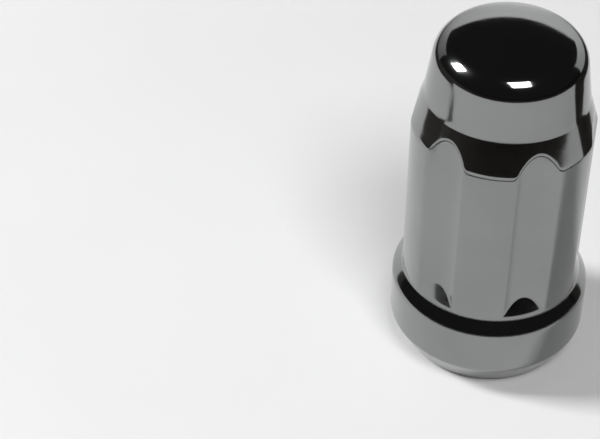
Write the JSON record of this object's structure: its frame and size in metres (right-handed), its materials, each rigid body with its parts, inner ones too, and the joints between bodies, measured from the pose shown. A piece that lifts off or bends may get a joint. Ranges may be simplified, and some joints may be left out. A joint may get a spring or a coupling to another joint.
{
  "type": "spline lug nut",
  "caption": "Closed-end wheel nut with a splined body: conical seat and flange at the open end, round flutes along the body, and a shoulder, collar and dome at the closed end.",
  "frame": {"origin": "centre of the flat ring at the open end, on the bore's axis", "axes": "+Z along the bore's axis, from the open end to the dome; +X through the root of one flute"},
  "size_m": [0.022, 0.022, 0.0424],
  "materials": {
    "chrome": "mirror chrome plate over steel"
  },
  "bodies": {
    "root": {"lug_nut": "chrome"}
  },
  "joints": []
}
